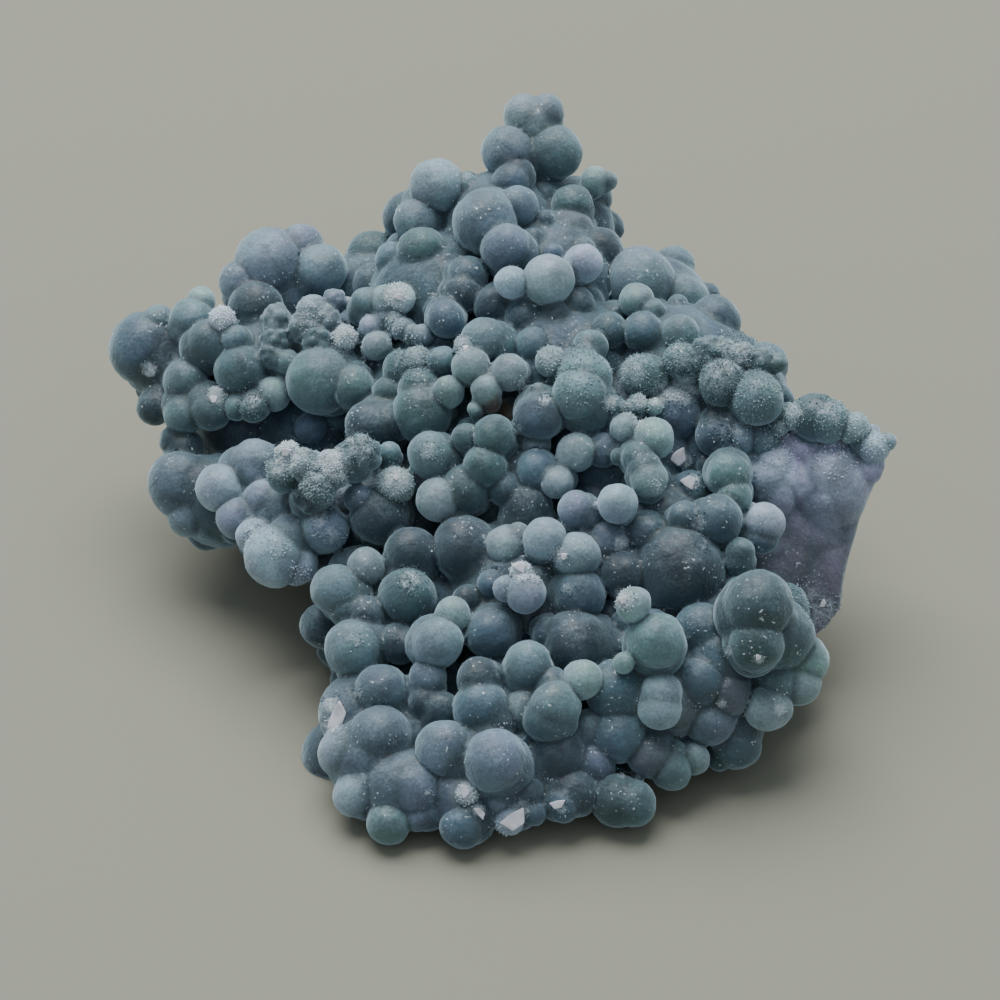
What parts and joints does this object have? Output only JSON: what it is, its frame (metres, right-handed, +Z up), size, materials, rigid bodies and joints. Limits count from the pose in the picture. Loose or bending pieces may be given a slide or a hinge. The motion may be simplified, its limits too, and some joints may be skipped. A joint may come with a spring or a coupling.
{
  "type": "grape agate specimen",
  "caption": "Natural cluster of small round chalcedony grapes grown over a lumpy body, with a peak, an overhanging wing and a smooth broken shard, lying on its rough underside",
  "frame": {"origin": "on the table under the middle of the specimen's box", "axes": "+X to the right along the widest way, +Y from the low front to the peak at the back, +Z up"},
  "size_m": [0.0536, 0.0511, 0.026],
  "materials": {
    "chalcedony": "frosted, sugary"
  },
  "bodies": {
    "root": {"grape_agate": "chalcedony"}
  },
  "joints": []
}
